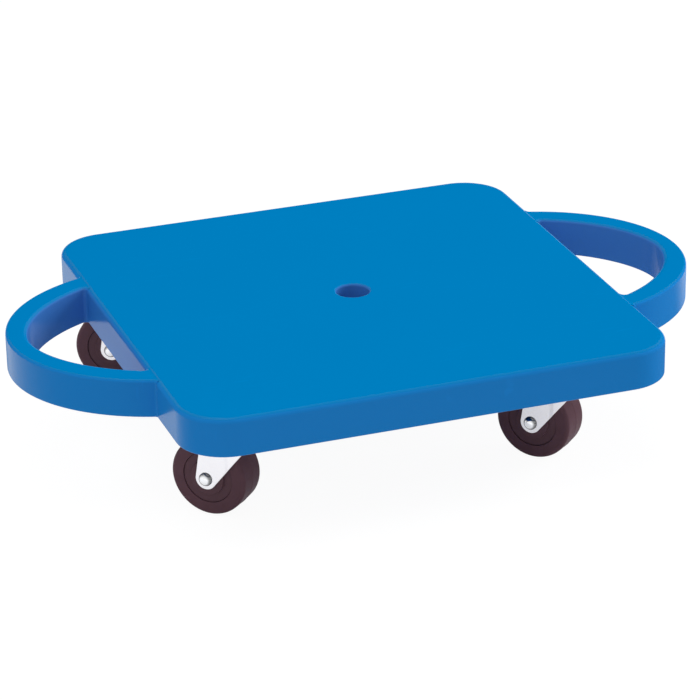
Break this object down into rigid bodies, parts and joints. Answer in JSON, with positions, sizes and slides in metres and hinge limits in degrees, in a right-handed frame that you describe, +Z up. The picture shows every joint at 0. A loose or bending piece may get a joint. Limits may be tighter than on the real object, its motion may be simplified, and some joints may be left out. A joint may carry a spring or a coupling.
{
  "type": "scooter board",
  "caption": "Square moulded scooter board with a hand loop on each side and a swivel caster under each corner.",
  "frame": {"origin": "on the ground, under the middle of the deck", "axes": "+X to the right hand loop, +Y to the back edge, +Z up"},
  "size_m": [0.4364, 0.3048, 0.087],
  "materials": {
    "deck_plastic": "satin blue moulded polypropylene",
    "zinc_steel": "pressed steel with bright zinc plating",
    "bright_steel": "polished plated steel",
    "tyre_rubber": "dark brown-black moulded rubber",
    "core_plastic": "dark brown-black moulded plastic"
  },
  "bodies": {
    "deck": {"deck": "deck_plastic", "front_left_mount_plate": "zinc_steel", "front_left_king_pin": "zinc_steel", "front_left_king_washer": "zinc_steel", "front_left_screw_1": "bright_steel", "front_left_screw_2": "bright_steel", "front_left_screw_3": "bright_steel", "front_left_screw_4": "bright_steel", "front_right_mount_plate": "zinc_steel", "front_right_king_pin": "zinc_steel", "front_right_king_washer": "zinc_steel", "front_right_screw_1": "bright_steel", "front_right_screw_2": "bright_steel", "front_right_screw_3": "bright_steel", "front_right_screw_4": "bright_steel", "back_left_mount_plate": "zinc_steel", "back_left_king_pin": "zinc_steel", "back_left_king_washer": "zinc_steel", "back_left_screw_1": "bright_steel", "back_left_screw_2": "bright_steel", "back_left_screw_3": "bright_steel", "back_left_screw_4": "bright_steel", "back_right_mount_plate": "zinc_steel", "back_right_king_pin": "zinc_steel", "back_right_king_washer": "zinc_steel", "back_right_screw_1": "bright_steel", "back_right_screw_2": "bright_steel", "back_right_screw_3": "bright_steel", "back_right_screw_4": "bright_steel"},
    "front_left_swivel": {"front_left_fork": "zinc_steel", "front_left_axle": "bright_steel", "front_left_axle_nut": "zinc_steel", "front_left_axle_sleeve": "zinc_steel"},
    "front_left_wheel": {"front_left_wheel_core": "core_plastic", "front_left_tyre": "tyre_rubber"},
    "front_right_swivel": {"front_right_fork": "zinc_steel", "front_right_axle": "bright_steel", "front_right_axle_nut": "zinc_steel", "front_right_axle_sleeve": "zinc_steel"},
    "front_right_wheel": {"front_right_wheel_core": "core_plastic", "front_right_tyre": "tyre_rubber"},
    "back_left_swivel": {"back_left_fork": "zinc_steel", "back_left_axle": "bright_steel", "back_left_axle_nut": "zinc_steel", "back_left_axle_sleeve": "zinc_steel"},
    "back_left_wheel": {"back_left_wheel_core": "core_plastic", "back_left_tyre": "tyre_rubber"},
    "back_right_swivel": {"back_right_fork": "zinc_steel", "back_right_axle": "bright_steel", "back_right_axle_nut": "zinc_steel", "back_right_axle_sleeve": "zinc_steel"},
    "back_right_wheel": {"back_right_wheel_core": "core_plastic", "back_right_tyre": "tyre_rubber"}
  },
  "joints": [
    {"name": "front_left_swivel_turn", "type": "hinge", "parent": "deck", "child": "front_left_swivel", "pos_m": [-0.1035, -0.1035, 0.056], "axis": [0, 0, 1], "continuous": true},
    {"name": "front_left_wheel_spin", "type": "hinge", "parent": "front_left_swivel", "child": "front_left_wheel", "pos_m": [-0.11872, -0.08817, 0.0246], "axis": [-0.7096, -0.7046, 0], "continuous": true},
    {"name": "front_right_swivel_turn", "type": "hinge", "parent": "deck", "child": "front_right_swivel", "pos_m": [0.1035, -0.1035, 0.056], "axis": [0, 0, 1], "continuous": true},
    {"name": "front_right_wheel_spin", "type": "hinge", "parent": "front_right_swivel", "child": "front_right_wheel", "pos_m": [0.08922, -0.0873, 0.0246], "axis": [-0.7501, -0.6613, 0], "continuous": true},
    {"name": "back_left_swivel_turn", "type": "hinge", "parent": "deck", "child": "back_left_swivel", "pos_m": [-0.1035, 0.1035, 0.056], "axis": [0, 0, 1], "continuous": true},
    {"name": "back_left_wheel_spin", "type": "hinge", "parent": "back_left_swivel", "child": "back_left_wheel", "pos_m": [-0.12182, 0.11495, 0.0246], "axis": [-0.5299, -0.848, 0], "continuous": true},
    {"name": "back_right_swivel_turn", "type": "hinge", "parent": "deck", "child": "back_right_swivel", "pos_m": [0.1035, 0.1035, 0.056], "axis": [0, 0, 1], "continuous": true},
    {"name": "back_right_wheel_spin", "type": "hinge", "parent": "back_right_swivel", "child": "back_right_wheel", "pos_m": [0.08745, 0.11795, 0.0246], "axis": [-0.6691, -0.7431, 0], "continuous": true}
  ]
}
